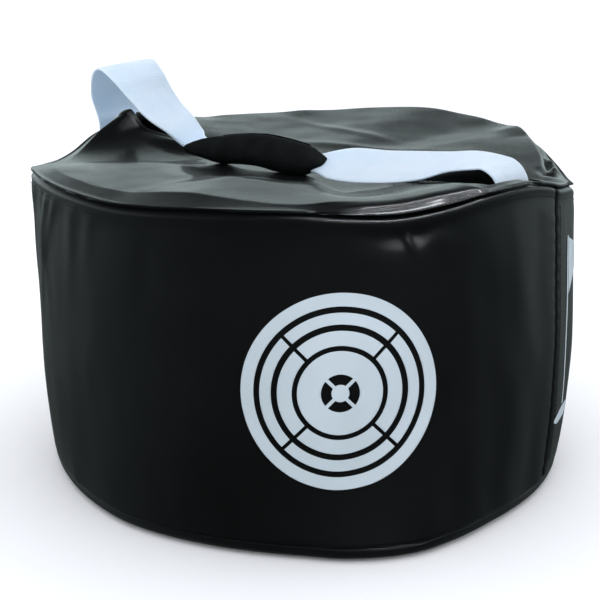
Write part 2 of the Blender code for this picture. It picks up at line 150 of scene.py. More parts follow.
# Padded grip, as (s, t, z, direction across, half width, half thickness)
GRIP = (
    (-76.5, -47, 238.0, (0, 0.80, 0.60), 1.6, 1.2),
    (-69.0, -46, 238.6, (0, 0.80, 0.60), 4.8, 3.4),
    (-60.6, -44, 239.6, (0, 0.78, 0.62), 7.8, 4.8),
    (-50.9, -41.5, 239.9, (0, 0.75, 0.65), 10.2, 6.0),
    (-42, -37, 239.4, (0, 0.73, 0.67), 12.0, 7.8),
    (-23, -37, 241.6, (0, 0.70, 0.70), 12.2, 7.8),
    (-7, -36, 242.2, (0, 0.70, 0.70), 12.6, 8.0),
    (9, -35, 240.8, (0, 0.72, 0.68), 13.0, 8.6),
    (22, -34, 239.4, (0, 0.74, 0.66), 12.8, 8.6),
    (32, -33, 238.8, (0, 0.76, 0.64), 11.4, 8.0),
    (40, -31, 238.4, (0, 0.78, 0.62), 7.6, 5.6),
    (46, -29, 238.0, (0, 0.80, 0.60), 4.2, 3.2),
)
FLAP_FIRST, FLAP_LAST = 3.2, 8.6  # part of the grip that its closing flap covers
LEFT_ROWS = 12                    # the left webbing ends inside the grip
RIGHT_ROW = 12                    # and the right one starts inside it

SLIDER_S = -149.5
ZIP_HALF_LENGTH = 155.0
TEETH_PITCH = 2.4

SIX_TURNS = [math.tau * k / 6 for k in range(6)]

# Places of the prints: height of the target's middle, and of the flag's foot with its angle
TARGET_Z = 119.0
FLAG_ANGLE, FLAG_FOOT = 62.3, 62.0


# ---- small helpers -------------------------------------------------------------------------------

def mm(point):
    return Vector(point) * 0.001


def diagonal(s, t, z):
    """Millimetres on the zip's diagonal to millimetres in the room."""
    return Vector(((s + t) * ROOT_HALF, (t - s) * ROOT_HALF, z))


def polar(angle, radius, z):
    turn = math.radians(angle)
    return Vector((radius * math.sin(turn), -radius * math.cos(turn), z))


def smooth(share):
    share = min(max(share, 0.0), 1.0)
    return share * share * (3 - 2 * share)


def hill(offset, width):
    """1 at no offset, and nearly 0 at twice the width."""
    return math.exp(-(offset / width) ** 2)


def hermite(low, high, low_slope, high_slope, share):
    square, cube = share * share, share ** 3
    return ((2 * cube - 3 * square + 1) * low + (cube - 2 * square + share) * low_slope
            + (3 * square - 2 * cube) * high + (cube - square) * high_slope)


def around(table, angle):
    """A smooth closed curve through (angle, value) pairs."""
    angle = (angle + 180.0) % 360.0 - 180.0
    count = len(table)
    index = count - 1
    for number in range(count):
        if table[number][0] > angle:
            index = number - 1
            break
    def knot(number):
        turns, place = divmod(number, count)
        return table[place][0] + 360.0 * turns, table[place][1]
    before, first, second, after = (knot(index + step) for step in (-1, 0, 1, 2))
    if angle < first[0]:
        angle += 360.0
    span = second[0] - first[0]
    share = (angle - first[0]) / span
    low_slope = (second[1] - before[1]) / (second[0] - before[0]) * span
    high_slope = (after[1] - first[1]) / (after[0] - first[0]) * span
    return hermite(first[1], second[1], low_slope, high_slope, share)


def along(table, place):
    """The value at a place on straight stretches through (place, value) pairs."""
    if place <= table[0][0]:
        return table[0][1]
    for (first, low), (second, high) in zip(table, table[1:]):
        if place <= second:
            return low + (high - low) * (place - first) / (second - first)
    return table[-1][1]


def catmull_rom(before, first, second, after, share):
    return 0.5 * (2 * first + (second - before) * share
                  + (2 * before - 5 * first + 4 * second - after) * share ** 2
                  + (3 * first - before - 3 * second + after) * share ** 3)


def smooth_profile(points, per_span):
    """More points on a smooth line through a few (x, z) points."""
    line = []
    for index in range(len(points) - 1):
        picked = [points[max(index - 1, 0)], points[index], points[index + 1],
                  points[min(index + 2, len(points) - 1)]]
        for step in range(per_span):
            line.append(tuple(catmull_rom(*column, step / per_span) for column in zip(*picked)))
    line.append(tuple(points[-1]))
    return line


def ripple(x, y, seed, size):
    """Soft seeded unevenness between about -1 and 1."""
    return noise.noise(Vector((x / size, y / size, seed)))


# ---- making objects ------------------------------------------------------------------------------

def to_piece(name, shape, look, smooth_shading=True, turn_faces=True):
    """Makes a bmesh an object in the scene, its faces turned outwards."""
    if turn_faces:
        bmesh.ops.recalc_face_normals(shape, faces=shape.faces)
    mesh = bpy.data.meshes.new(name)
    shape.to_mesh(mesh)
    shape.free()
    piece = bpy.data.objects.new(name, mesh)
    bpy.context.scene.collection.objects.link(piece)
    mesh.materials.append(look)
    if smooth_shading:
        mesh.polygons.foreach_set("use_smooth", [True] * len(mesh.polygons))
    return piece


def add_tube(shape, rings):
    """Joins rings of points in millimetres into one closed tube."""
    rings = [[shape.verts.new(mm(point)) for point in ring] for ring in rings]
    count = len(rings[0])
    for ring, following in zip(rings, rings[1:]):
        for k in range(count):
            beside = (k + 1) % count
            shape.faces.new((ring[k], ring[beside], following[beside], following[k]))
    shape.faces.new(rings[0][::-1])
    shape.faces.new(rings[-1])


def grid_piece(name, rows, look, weave=None, closed_across=False, closed_along=False, caps=False):
    """A surface through rows of points in millimetres. weave gives each point's place on the cloth, in
    metres, and is kept as a UV map."""
    shape = bmesh.new()
    lines = [[shape.verts.new(mm(point)) for point in row] for row in rows]
    layer = shape.loops.layers.uv.new("weave") if weave else None
    row_count, across_count = len(rows), len(rows[0])
    for row in range(row_count if closed_along else row_count - 1):
        following = (row + 1) % row_count
        for place in range(across_count if closed_across else across_count - 1):
            beside = (place + 1) % across_count
            corners = ((row, place), (row, beside), (following, beside), (following, place))
            face = shape.faces.new([lines[r][p] for r, p in corners])
            if layer:
                for loop, (r, p) in zip(face.loops, corners):
                    loop[layer].uv = weave(r if r or not closed_along or row == 0 else row_count,
                                           p if p or not closed_across or place == 0 else across_count)
    if caps:
        shape.faces.new(lines[0])
        shape.faces.new(lines[-1])
    return to_piece(name, shape, look)


def thicken(piece, thickness, offset=-1.0):
    solid = piece.modifiers.new("thickness", "SOLIDIFY")
    solid.thickness = thickness * 0.001
    solid.offset = offset
    solid.use_even_offset = False
    return piece


def faces_outwards(piece, inside):
    """Turns the piece over where its faces look, on the whole, towards a point inside."""
    total = 0.0
    for face in piece.data.polygons:
        total += face.area * face.normal.dot(face.center - mm(inside))
    if total < 0:
        piece.data.flip_normals()
    return piece


def body_piece(piece, body, slot, *nodes):
    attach(piece, body)
    if nodes:
        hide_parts(*nodes)
    return piece


def bag_sheet(piece, inside, thickness, slot, *nodes, offset=-1.0):
    """A sheet of cloth on the bag: faced outwards, thickened and ridden on it."""
    faces_outwards(piece, inside)
    thicken(piece, thickness, offset)
    return body_piece(piece, "bag", slot, *nodes)


# ---- materials -----------------------------------------------------------------------------------

class Look:
    """A Principled material with short calls for its nodes."""

    def __init__(self, name, colour, roughness, **sockets):
        self.material = bpy.data.materials.new(name)
        self.material.use_nodes = True
        self.nodes = self.material.node_tree.nodes
        self.links = self.material.node_tree.links
        self.shader = self.nodes["Principled BSDF"]
        self.shader.inputs["Base Color"].default_value = (*colour, 1.0)
        self.shader.inputs["Roughness"].default_value = roughness
        for socket, value in sockets.items():
            self.shader.inputs[socket.replace("_", " ")].default_value = value
        self.normal = None
        self.place = self.node("ShaderNodeTexCoord").outputs["Object"]

    def node(self, kind, **values):
        made = self.nodes.new(kind)
        for key, value in values.items():
            setattr(made, key, value)
        return made

    def math(self, operation, first, second=None):
        made = self.node("ShaderNodeMath", operation=operation)
        for socket, value in zip(made.inputs, (first, second)):
            if isinstance(value, (int, float)):
                socket.default_value = value
            elif value is not None:
                self.links.new(value, socket)
        return made.outputs[0]

    def noise(self, scale, detail=3.0, rough=0.5, vector=None, stretch=None):
        made = self.node("ShaderNodeTexNoise")
        made.inputs["Scale"].default_value = scale
        made.inputs["Detail"].default_value = detail
        made.inputs["Roughness"].default_value = rough
        source = vector or self.place
        if stretch:
            mapping = self.node("ShaderNodeMapping")
            mapping.inputs["Scale"].default_value = stretch
            self.links.new(source, mapping.inputs["Vector"])
            source = mapping.outputs["Vector"]
        self.links.new(source, made.inputs["Vector"])
        return made.outputs["Fac"]

    def spread(self, value, low_in, high_in, low, high):
        made = self.node("ShaderNodeMapRange")
        self.links.new(value, made.inputs["Value"])
        for key, number in (("From Min", low_in), ("From Max", high_in), ("To Min", low), ("To Max", high)):
            made.inputs[key].default_value = number
        return made.outputs["Result"]

    def colours(self, value, dark, light):
        ramp = self.node("ShaderNodeValToRGB")
        ramp.color_ramp.elements[0].color = (*dark, 1.0)
        ramp.color_ramp.elements[1].color = (*light, 1.0)
        ramp.color_ramp.elements[0].position = 0.3
        ramp.color_ramp.elements[1].position = 0.7
        self.links.new(value, ramp.inputs["Fac"])
        self.links.new(ramp.outputs["Color"], self.shader.inputs["Base Color"])
        return ramp.outputs["Color"]

    def roughness(self, value):
        self.links.new(value, self.shader.inputs["Roughness"])

    def weave_axes(self):
        """The cloth's two directions, in metres."""
        chart = self.node("ShaderNodeUVMap", uv_map="weave").outputs["UV"]
        split = self.node("ShaderNodeSeparateXYZ")
        self.links.new(chart, split.inputs[0])
        return split.outputs["X"], split.outputs["Y"]

    def wave(self, value, pitch):
        return self.math("SINE", self.math("MULTIPLY", value, math.tau / pitch))

    def plain_weave(self, pitch, distance, strength):
        """The small squares of a plain weave, in relief."""
        u, v = self.weave_axes()
        self.bump(self.math("MULTIPLY", self.wave(u, pitch), self.wave(v, pitch)), distance, strength)

    def bump(self, height, distance, strength=1.0):
        made = self.node("ShaderNodeBump")
        made.inputs["Strength"].default_value = strength
        made.inputs["Distance"].default_value = distance
        self.links.new(height, made.inputs["Height"])
        if self.normal:
            self.links.new(self.normal, made.inputs["Normal"])
        self.normal = made.outputs["Normal"]
        self.links.new(self.normal, self.shader.inputs["Normal"])


def coated_fabric(name):
    """Black PVC-coated cloth: the base weave shows through the glossy coat as fine dots."""
    look = Look(name, (0.004, 0.005, 0.005), 0.24, Coat_Weight=0.4, Coat_Roughness=0.10,
                Specular_IOR_Level=0.5)
    cloud = look.noise(9.0, 4.0, 0.6)
    look.colours(cloud, (0.0022, 0.0028, 0.0028), (0.0040, 0.0048, 0.0050))
    look.roughness(look.spread(look.noise(22.0, 4.0, 0.6), 0.3, 0.7, 0.20, 0.27))
    look.bump(look.noise(26.0, 3.0, 0.55), 0.0010, 0.35)
    look.plain_weave(CLOTH_PITCH, 0.00010, 0.8)
    return look.material


def lining_tape(name):
    look = Look(name, (0.02, 0.02, 0.022), 0.85)
    look.colours(look.noise(60.0), (0.012, 0.012, 0.014), (0.03, 0.03, 0.033))
    look.bump(look.noise(900.0, 2.0), 0.0002, 0.5)
    return look.material


def stuffing_cloth(name):
    look = Look(name, (0.32, 0.30, 0.27), 0.9, Sheen_Weight=0.2)
    look.colours(look.noise(14.0, 5.0), (0.16, 0.17, 0.20), (0.46, 0.42, 0.36))
    look.bump(look.noise(300.0, 4.0), 0.0008, 0.6)
    return look.material


def strap_webbing(name):
    """White polyester webbing: fine ribs across, with a slight chevron and rolled edges."""
    look = Look(name, (0.575, 0.715, 0.99), 0.65, Specular_IOR_Level=0.25, Subsurface_Weight=0.7,
                Subsurface_Radius=(0.8, 0.95, 1.2), Subsurface_Scale=0.008)
    look.colours(look.noise(40.0, 3.0), (0.555, 0.70, 0.985), (0.60, 0.735, 0.995))
    u, v = look.weave_axes()
    repeat = look.math("FRACT", look.math("DIVIDE", v, 0.012))
    zigzag = look.math("ABSOLUTE", look.math("SUBTRACT", repeat, 0.5))
    slanted = look.math("ADD", u, look.math("MULTIPLY", zigzag, 0.0024))
    look.bump(look.wave(slanted, 0.00155), 0.00016, 0.75)
    look.bump(look.wave(v, 0.0009), 0.00006, 0.5)
    return look.material


def grip_fabric(name):
    look = Look(name, (0.003, 0.004, 0.004), 0.8, Sheen_Weight=0.01, Sheen_Roughness=0.4,
                Specular_IOR_Level=0.12)
    look.colours(look.noise(70.0, 3.0), (0.0020, 0.0030, 0.0030), (0.0045, 0.0062, 0.0064))
    look.roughness(look.spread(look.noise(30.0), 0.3, 0.7, 0.62, 0.8))
    look.plain_weave(0.0011, 0.00006, 0.7)
    return look.material


def hook_and_loop(name, pitch):
    look = Look(name, (0.012, 0.012, 0.014), 0.95, Sheen_Weight=0.3)
    look.colours(look.noise(400.0, 2.0), (0.006, 0.006, 0.007), (0.03, 0.03, 0.032))
    cells = look.node("ShaderNodeTexVoronoi")
    cells.inputs["Scale"].default_value = 1.0 / pitch
    look.links.new(look.place, cells.inputs["Vector"])
    look.bump(cells.outputs["Distance"], 0.0006, 0.9)
    return look.material


def zip_cloth(name):
    look = Look(name, (0.02, 0.019, 0.018), 0.82)
    look.colours(look.noise(120.0, 2.0), (0.012, 0.012, 0.012), (0.035, 0.032, 0.029))
    look.plain_weave(0.0008, 0.00008, 0.8)
    return look.material


def zip_nylon(name):
    look = Look(name, (0.012, 0.012, 0.013), 0.34)
    look.colours(look.noise(200.0, 2.0), (0.009, 0.009, 0.010), (0.018, 0.018, 0.019))
    look.bump(look.noise(1500.0, 2.0), 0.00005, 0.4)
    return look.material


def black_metal(name):
    """Painted zinc, its paint thin in scratches."""
    look = Look(name, (0.03, 0.03, 0.032), 0.32, Metallic=0.8)
    look.colours(look.noise(250.0, 4.0, 0.7), (0.02, 0.02, 0.022), (0.07, 0.07, 0.072))
    look.roughness(look.spread(look.noise(400.0, 3.0), 0.3, 0.7, 0.25, 0.45))
    look.bump(look.noise(900.0, 2.0), 0.00004, 0.4)
    return look.material


def print_film(name):
    """Pale transfer film, with the cloth's weave just telegraphing through."""
    look = Look(name, (0.47, 0.54, 0.58), 0.42, Coat_Weight=0.2, Coat_Roughness=0.3)
    look.colours(look.noise(10.0, 3.0), (0.41, 0.48, 0.51), (0.52, 0.60, 0.65))
    look.roughness(look.spread(look.noise(35.0), 0.3, 0.7, 0.36, 0.5))
    look.plain_weave(CLOTH_PITCH, 0.00005, 0.4)
    return look.material


def thread(name, colour):
    look = Look(name, colour, 0.7, Specular_IOR_Level=0.15)
    look.bump(look.noise(3000.0, 1.0), 0.0001, 0.5)
    return look.material


# ---- drum ----------------------------------------------------------------------------------------

def gathers_left(angle, below):
    """Short folds that fan down from the seam at the left-front corner."""
    total = 0.0
    for centre, lean, width, height, length in ((-84, 0.05, 1.6, 1.6, 42), (-79, 0.12, 1.3, 2.2, 30),
                                                (-74, -0.02, 1.8, 1.8, 55), (-68.5, 0.10, 1.4, 2.4, 48),
                                                (-64, 0.16, 1.5, 1.7, 38), (-58, 0.05, 2.2, 1.5, 50),
                                                (-51, 0.08, 2.0, 0.9, 34)):
        offset = angle - centre + lean * below
        total += height * hill(offset, width) * math.exp(-below / length) * smooth(below / 6.0)
    return 1.5 * total


def dent_right(angle, z):
    """The pushed-in place under the rim, right of the middle, with its sharp crease."""
    hollow = -8.5 * hill(angle - 13.0, 6.2) * hill(z - 226.0, 11.0)
    crease_angle = 13.2 + (z - 216.0) * -0.13
    crease = 3.6 * hill(angle - crease_angle, 0.8) * hill(z - 219.0, 9.0)
    shoulder = 1.5 * hill(angle - 19.0, 2.4) * hill(z - 219.0, 8.0)
    return hollow + crease + shoulder


def wall_radius(angle, z, column):
    """Radius of the wall's outside. column holds what depends on the angle alone."""
    top, middle, low, seam = column
    share = (z - BOTTOM_SEAM_HEIGHT) / (seam - BOTTOM_SEAM_HEIGHT)
    if share > MIDDLE_SHARE:
        radius = middle + (top - middle) * ((share - MIDDLE_SHARE) / (1 - MIDDLE_SHARE)) ** 1.6
    else:
        radius = middle + (low - middle) * ((MIDDLE_SHARE - share) / MIDDLE_SHARE) ** 2
    below = seam - z
    radius += gathers_left(angle, below) + dent_right(angle, z)
    radius += 1.5 * ripple(angle * 3.4, z * 0.55, 2.0, 60.0) * smooth(below / 30.0) * smooth(z / 30.0)
    radius += 0.5 * ripple(angle * 3.4, z * 0.35, 9.0, 17.0) * smooth(below / 20.0)
    radius += 0.9 * math.sin(math.radians(angle * 21.0)) * hill(angle - 44.0, 13.0) * smooth(below / 40.0)
    for crease, height in ((70.0, 1.2), (83.0, 1.0), (97.0, 1.3), (-104.0, 1.1), (-133.0, 1.4), (152.0, 1.0)):
        radius += (height * hill(angle - crease - below * 0.03, 2.2) * math.exp(-below / 60.0)
                   * smooth(below / 8))
    for crease, height in ((-64.0, 1.0), (-38.0, 0.8), (31.0, 1.0), (52.0, 1.3), (110.0, 1.0), (-160.0, 1.1)):
        radius += height * hill(angle - crease + z * 0.05, 2.6) * math.exp(-z / 34.0)
    for seam_angle in SIDE_SEAMS:
        away = (angle - seam_angle + 180.0) % 360.0 - 180.0
        pucker = 0.25 * math.sin(z * 0.55) * hill(away, 2.2)
        radius += pucker - 0.4 * hill(away, 1.2)
    return radius


def wall_column(angle):
    return (around(TOP_RADIUS, angle), around(MIDDLE_RADIUS, angle), around(BASE_RADIUS, angle),
            around(SEAM_HEIGHT, angle))


def wall_line(angle):
    """The wall's outside from the groove under the top down to the base seam, as (radius, z)."""
    column = wall_column(angle)
    top, seam, groove = column[0], column[3], around(GROOVE_DEPTH, angle)
    line = smooth_profile(((top - groove - 4.0, seam - 0.5), (top - groove, seam - 0.7),
                           (top - 0.9, seam - 1.9), (top + 0.9, seam - 4.2), (top + 0.9, seam - 7.5)), 4)
    first = seam - 7.5
    for step in range(1, WALL_ROWS):
        share = step / (WALL_ROWS - 1)
        z = first + (BOTTOM_SEAM_HEIGHT - first) * share
        radius = wall_radius(angle, z, column)
        if step < 6:
            radius += (top + 0.9 - radius) * (1 - step / 6.0) ** 2
        line.append((radius, z))
    end = line[-1][0]
    line += [(end - 1.0, BOTTOM_SEAM_HEIGHT - 1.6), (end - 3.4, BOTTOM_SEAM_HEIGHT - 1.9)]
    return line


def weave_of(lines):
    """How far down the cloth each point of a wall's middle line lies."""
    depth = [0.0]
    middle = lines[len(lines) // 2]
    for first, second in zip(middle, middle[1:]):
        depth.append(depth[-1] + math.dist(first, second))
    return depth


def make_wall(name, first, last, look, node):
    """Half of the wall, its two ends tucked in at the side seams."""
    columns = WALL_COLUMNS // 2
    angles = [first + (last - first) * step / columns for step in range(columns + 1)]
    lines = [wall_line(angle) for angle in angles]
    for away, tuck in enumerate((2.2, 0.5, 0.1)):
        for place in (away, columns - away):
            lines[place] = [(radius - tuck, z) for radius, z in lines[place]]
    depth = weave_of(lines)
    rows = [[polar(angle, radius, z) for radius, z in line] for angle, line in zip(angles, lines)]
    piece = grid_piece(name, rows, look,
                       weave=lambda r, p: (math.radians(angles[r]) * 0.2, depth[p] * 0.001))
    bag_sheet(piece, DRUM_MIDDLE, CLOTH, "coated_fabric", node)


def base_line(angle):
    low = around(BASE_RADIUS, angle)
    sag = 0.5 * ripple(angle * 3.0, 0.0, 5.0, 40.0)
    return smooth_profile(((low - 5.0, 11.4), (low - 2.0, 11.2), (low - 0.9, 10.0 + sag),
                           (low - 1.1, 6.2 + sag), (low - 4.0, 2.4), (low - 10.0, 0.5), (low - 21.0, 0.15)), 5)


def make_base(look):
    columns = 360
    rows = []
    for step in range(columns):
        angle = step * 360.0 / columns - 180.0
        line = base_line(angle)
        inner = line[-1][0]
        line += [(inner * share, 0.15) for share in (0.85, 0.65, 0.4, 0.2, 0.05)]
        rows.append([polar(angle, radius, z) for radius, z in line])
    piece = grid_piece("base_skin", rows, look, closed_along=True,
                       weave=lambda r, p: (math.radians(r) * 0.2, p * 0.002))
    close_middle(piece)
    bag_sheet(piece, (0, 0, 60), CLOTH, "coated_fabric", "bottom_panel")


def close_middle(piece):
    """Fills the small round hole that a ring of rows leaves in its middle."""
    shape = bmesh.new()
    shape.from_mesh(piece.data)
    rims = [edge for edge in shape.edges if edge.is_boundary and all(
        math.hypot(vertex.co.x, vertex.co.y) < 0.05 for vertex in edge.verts)]
    bmesh.ops.contextual_create(shape, geom=rims)
    bmesh.ops.recalc_face_normals(shape, faces=shape.faces)
    for face in shape.faces:
        face.smooth = True
    shape.to_mesh(piece.data)
    shape.free()


# ---- top -----------------------------------------------------------------------------------------

def soft_max(first, second, radius):
    """The larger of two heights, with a rounded join."""
    gap = max(radius - abs(first - second), 0.0) / radius
    return max(first, second) + gap * gap * radius * 0.25


def end_fold(s, t, front, back, reach, foot):
    """The cloth pulled up at one end of the zip, falling away on both sides of the zip."""
    crest = along(front if t < 0 else back, s)
    share = max((abs(t) - CREST_T) / (reach if t < 0 else 34.0), 0.0)
    return crest + (foot - crest) * (share if t < 0 else smooth(share))


def right_pleats(s, t):
    """Ridges that fan out from the handle's right foot."""
    reach_s, reach_t = s - 187.0, t + 4.0
    distance = math.hypot(reach_s, reach_t)
    if distance < 1.0 or reach_s > 0:
        return 0.0
    spread = math.degrees(math.atan2(reach_t, -reach_s))
    fan = math.sin(math.radians(spread * 9.0 + 40.0)) + 0.5 * math.sin(math.radians(spread * 21.0))
    fade = smooth((distance - 6.0) / 14.0) * (1 - smooth((distance - 22.0) / 40.0))
    return 2.3 * fan * (fade * (1 - smooth((spread - 40) / 30.0)))


def corner_gathers(angle, radius):
    """Pleats of the top along its right rim."""
    total = 0.0
    for centre, width, height in ((96, 3.0, -1.2), (104, 3.0, 1.2), (118, 4.0, 0.9), (-100, 3.0, 0.6),
                                  (172, 4.0, 1.0), (-160, 4.0, -1.0)):
        total += height * hill(angle - centre, width)
    return total * smooth((radius - 158.0) / 26.0)


def corner_crease(angle, radius):
    """The tucked-in cloth behind the right corner: a deep crease with small folds outside it."""
    total = -7.5 * hill(angle - 77.0, 10.0) * hill(radius - 184.5, 3.0)
    total -= 5.0 * hill(angle - 66.0, 2.2) * hill(radius - 186.0, 5.5)
    for centre, width, height in ((72, 1.8, 2.6), (77, 1.5, -2.2), (82, 2.0, 2.4), (87, 1.6, -1.8),
                                  (92, 2.0, 1.6)):
        total += height * hill(angle - centre, width) * hill(radius - 191.0, 4.5)
    return total


def top_height(angle, radius):
    """Height of the top's outside, inside its crest."""
    turn = math.radians(angle)
    x, y = radius * math.sin(turn), -radius * math.cos(turn)
    s, t = (x - y) * ROOT_HALF, (x + y) * ROOT_HALF
    crest_radius = around(TOP_RADIUS, angle) - around(CREST_INSET, angle)
    crest = around(SEAM_HEIGHT, angle) + around(CREST_RISE, angle)
    rise = smooth((radius - 92.0) / (crest_radius - 92.0)) ** 1.2
    steady = max(radius - 35.0, 0.0) / (crest_radius - 35.0)
    rise += (steady ** 1.15 - rise) * smooth((t + 10.0) / 60.0)
    early = smooth((radius - 58.0) / 66.0)
    rise += (early - rise) * smooth(-t / 20.0) * smooth((8.0 - angle) / 16.0)
    height = TOP_LEVEL + (crest - TOP_LEVEL) * rise
    height += 0.9 * ripple(x, y, 4.0, 70.0) + 0.35 * ripple(x, y, 7.0, 24.0)
    height += 1.0 * hill(t - 62.0 - s * 0.15, 7.0) * hill(s - 10.0, 60.0)
    height += 0.8 * hill(t - 96.0 + s * 0.2, 6.0) * hill(s + 30.0, 50.0)
    height = soft_max(height, end_fold(s, t, LEFT_CREST_FRONT, LEFT_CREST_BACK, 70.0, 228.5), 2.0)
    if s > 90:
        height = soft_max(height, end_fold(s, t, RIGHT_CREST_FRONT, RIGHT_CREST_BACK, 30.0, 226.0), 2.0)
    height += right_pleats(s, t) + corner_gathers(angle, radius)
    channel = 1 - smooth((abs(t) - 7.0) / 14.0)
    open_channel = channel * (1 - smooth((-s - 60.0) / 60.0)) * (1 - smooth((s - 95.0) / 35.0))
    return height + (VALLEY + 0.9 - height) * open_channel


def top_line(angle):
    """The top's outside along one radius, from the middle to the seam, as (radius, z)."""
    top, seam = around(TOP_RADIUS, angle), around(SEAM_HEIGHT, angle)
    groove, crest_radius = around(GROOVE_DEPTH, angle), top - around(CREST_INSET, angle)
    line = []
    steps = 84
    for step in range(steps):
        radius = crest_radius * (0.004 + 0.996 * (step / (steps - 1)) ** 0.8)
        line.append((radius, top_height(angle, radius)))
    ridge = line[-1][1]
    drop, out = ridge - seam, top - crest_radius
    boxy = smooth((angle + 4.0) / 9.0) * (1 - smooth((angle - 36.0) / 6.0))
    roll = smooth_profile((line[-2], (crest_radius, ridge),
                           (crest_radius + 0.30 * out, ridge - (0.30 - 0.26 * boxy) * drop),
                           (crest_radius + 0.62 * out, ridge - (0.60 - 0.42 * boxy) * drop),
                           (top - 1.4, ridge - (0.86 - 0.34 * boxy) * drop),
                           (top + 0.3, seam + 0.15 * drop), (top - 0.4, seam + 0.05 * drop + 0.3),
                           (top - groove, seam + 0.1), (top - groove - 4.0, seam + 0.4)), 5)[6:]
    return [(radius, z + corner_crease(angle, radius) * smooth((top - 1.0 - radius) / 3.0))
            for radius, z in line + roll]


def make_top(look):
    """One disc, mapped by formula, then cut along the zip's slot into its two panels."""
    angles = [step * 360.0 / TOP_COLUMNS - 180.0 for step in range(TOP_COLUMNS)]
    rows = [[polar(angle, radius, z) for radius, z in top_line(angle)] for angle in angles]
    for end, side in (("front", -1), ("back", 1)):
        piece = grid_piece(f"top_skin_{end}", rows, look, closed_along=True)
        close_middle(piece)
        shape = bmesh.new()
        shape.from_mesh(piece.data)
        across = Vector((ROOT_HALF, ROOT_HALF, 0.0)) * side
        everything = shape.verts[:] + shape.edges[:] + shape.faces[:]
        bmesh.ops.bisect_plane(shape, geom=everything, plane_co=across * SLOT_HALF * 0.001, plane_no=across,
                               clear_inner=True, dist=0.000001)
        layer = shape.loops.layers.uv.new("weave")
        for face in shape.faces:
            for loop in face.loops:
                loop[layer].uv = loop.vert.co.xy
        if sum(face.normal.z * face.calc_area() for face in shape.faces) < 0:
            bmesh.ops.reverse_faces(shape, faces=shape.faces)
        shape.to_mesh(piece.data)
        shape.free()
        thicken(piece, CLOTH)
        body_piece(piece, "bag", "coated_fabric", f"top_panel_{end}")


def edge_height(s, side):
    """Height of a top panel's edge beside the zip."""
    point = diagonal(s, side * (SLOT_HALF + 0.6), 0)
    angle = math.degrees(math.atan2(point.x, -point.y))
    return top_height(angle, math.hypot(point.x, point.y))


def make_zip_welts(look, stitch):
    """The panels' edges, folded down to the zip, with a row of topstitching each."""
    for name, side in (("zip_welt_front", -1), ("zip_welt_back", 1)):
        rows = []
        last = 178.0
        steps = 240
        for step in range(steps + 1):
            s = -last + 2 * last * step / steps
            height = edge_height(s, side) + 0.35 * ripple(s, side * 30.0, 3.0, 9.0)
            wobble = 0.3 * ripple(s, side * 50.0, 6.0, 14.0)
            line = smooth_profile(((6.4, VALLEY - 0.7), (6.2 + wobble, VALLEY + 0.4),
                                   (6.4 + wobble, (VALLEY + height) / 2), (6.5 + wobble, height - 0.2),
                                   (7.3 + wobble, height + 1.1), (9.6, height + 1.0), (12.0, height + 0.1),
                                   (14.0, height - 1.2)), 3)
            rows.append([diagonal(s, side * t, z) for t, z in line])
        piece = grid_piece(name, rows, look, weave=lambda r, p: (r * 0.0015, p * 0.0009))
        bag_sheet(piece, UNDER_ZIP, 0.8, "coated_fabric")
        stitches = []
        for number in range(-38, 39):
            s = number * STITCH_PITCH
            stitches.append([diagonal(s + half, side * 10.6, edge_height(s + half, side) + 1.35)
                             for half in (-SHORT_STITCH, SHORT_STITCH)])
        row_of_stitches(f"zip_stitching_{'front' if side < 0 else 'back'}", stitches, stitch)


def row_of_stitches(name, pairs, look, radius=0.28):
    """Short rounded threads, each lying from one point to another and dipping in at its ends."""
    shape = bmesh.new()
    for first, second in pairs:
        step = second - first
        outward = Vector((first.x, first.y, 0.0)).normalized()
        sideways = step.cross(Vector((0, 0, 1)) if abs(step.normalized().z) < 0.8 else outward).normalized()
        upward = sideways.cross(step).normalized()
        add_tube(shape, [[first + step * share + radius * size * (
            sideways * math.cos(turn) + upward * math.sin(turn)) for turn in SIX_TURNS]
            for share, size in ((-0.12, 0.25), (0.0, 0.8), (0.3, 1.0), (0.7, 1.0), (1.0, 0.8), (1.12, 0.25))])
    body_piece(to_piece(name, shape, look), "bag", "coated_fabric")


# ---- zip -----------------------------------------------------------------------------------------

def make_zip_tapes(look):
    for name, side in (("zip_tape_cloth_front", -1), ("zip_tape_cloth_back", 1)):
        rows = []
        for step in range(161):
            s = -176.0 + 340.0 * step / 160
            lift = 0.12 * ripple(s, side * 9.0, 2.0, 12.0)
            rows.append([diagonal(s, side * t, z + lift) for t, z in (
                (1.2, 227.5), (2.4, 227.7), (4.0, 227.5), (6.5, 227.3), (9.5, 226.8), (13.0, 226.3))])
        piece = grid_piece(name, rows, look, weave=lambda r, p: (r * 0.0021, p * 0.0022))
        bag_sheet(piece, UNDER_ZIP, 0.5, "zip_tape", f"zip_tape_{'front' if side < 0 else 'back'}")


def make_teeth(look):
    """Interlocking coil teeth, one small loop each, on both tapes."""
    loop = ((3.6, 227.9, 0.35), (3.0, 228.7, 0.55), (1.6, 229.0, 0.55), (0.2, 228.8, 0.62),
            (-0.5, 228.5, 0.45))
    for name, side in (("zip_teeth_front", -1), ("zip_teeth_back", 1)):
        shape = bmesh.new()
        count = int(2 * ZIP_HALF_LENGTH / TEETH_PITCH)
        for number in range(count):
            s = -ZIP_HALF_LENGTH + TEETH_PITCH * (number + (0.25 if side < 0 else 0.75))
            add_tube(shape, [[diagonal(s, side * t, z)
                              + diagonal(size * math.cos(turn), 0, size * math.sin(turn))
                              for turn in SIX_TURNS] for t, z, size in loop])
        piece = to_piece(name, shape, look)
        body_piece(piece, "bag", "zip_coil", f"zip_coil_{'front' if side < 0 else 'back'}")


